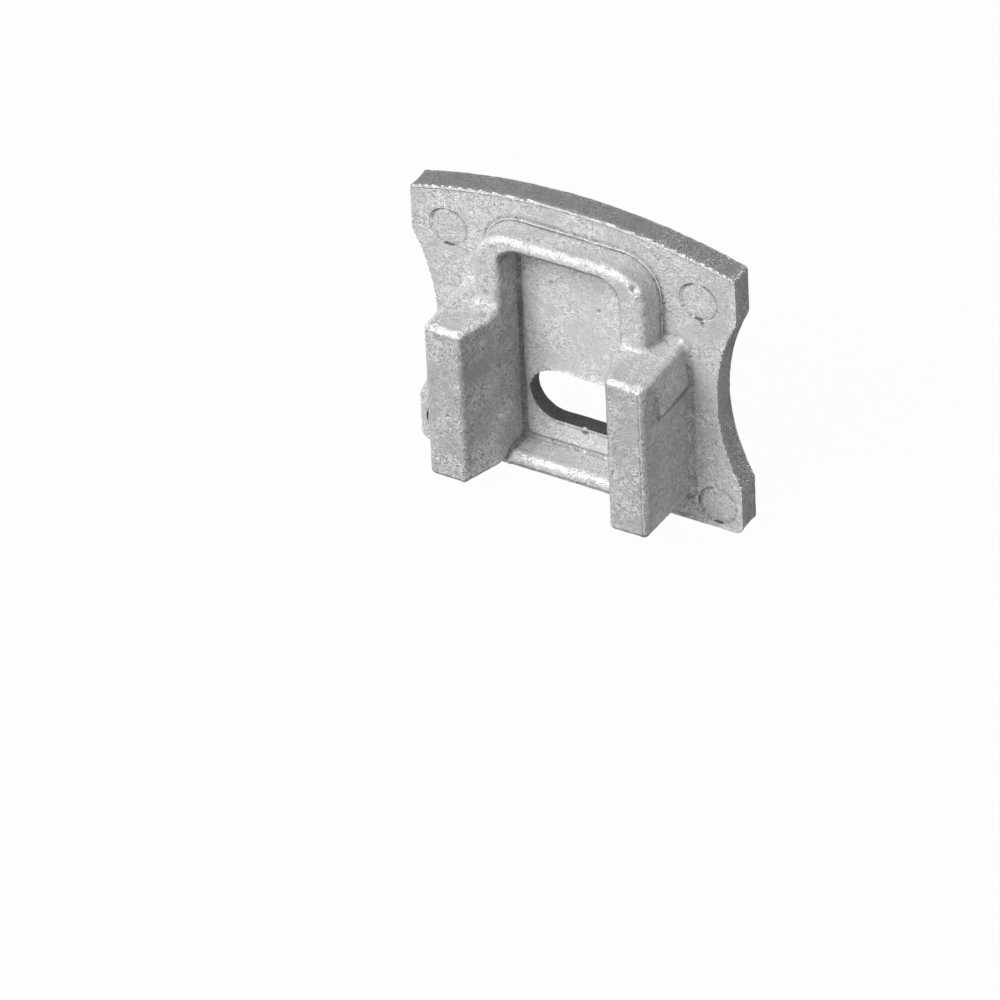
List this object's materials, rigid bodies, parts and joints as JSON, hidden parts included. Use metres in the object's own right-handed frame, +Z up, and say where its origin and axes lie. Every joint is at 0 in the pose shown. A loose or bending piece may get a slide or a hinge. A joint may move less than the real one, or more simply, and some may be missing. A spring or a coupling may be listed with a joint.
{
  "type": "profile end cap",
  "caption": "Cast end cap for a shallow aluminium channel: waisted plate with a crowned top, a framed recess, a cable slot and two plug legs with snap ridges.",
  "frame": {"origin": "middle of the bottom edge of the plate, on the inner face that seats against the cut end of the channel", "axes": "+X across the cap, +Y out of the channel through the outer face, +Z up towards the crowned top"},
  "size_m": [0.017, 0.0055, 0.0157],
  "materials": {
    "cast_zinc": null
  },
  "bodies": {
    "root": {"end_cap": "cast_zinc"}
  },
  "joints": []
}
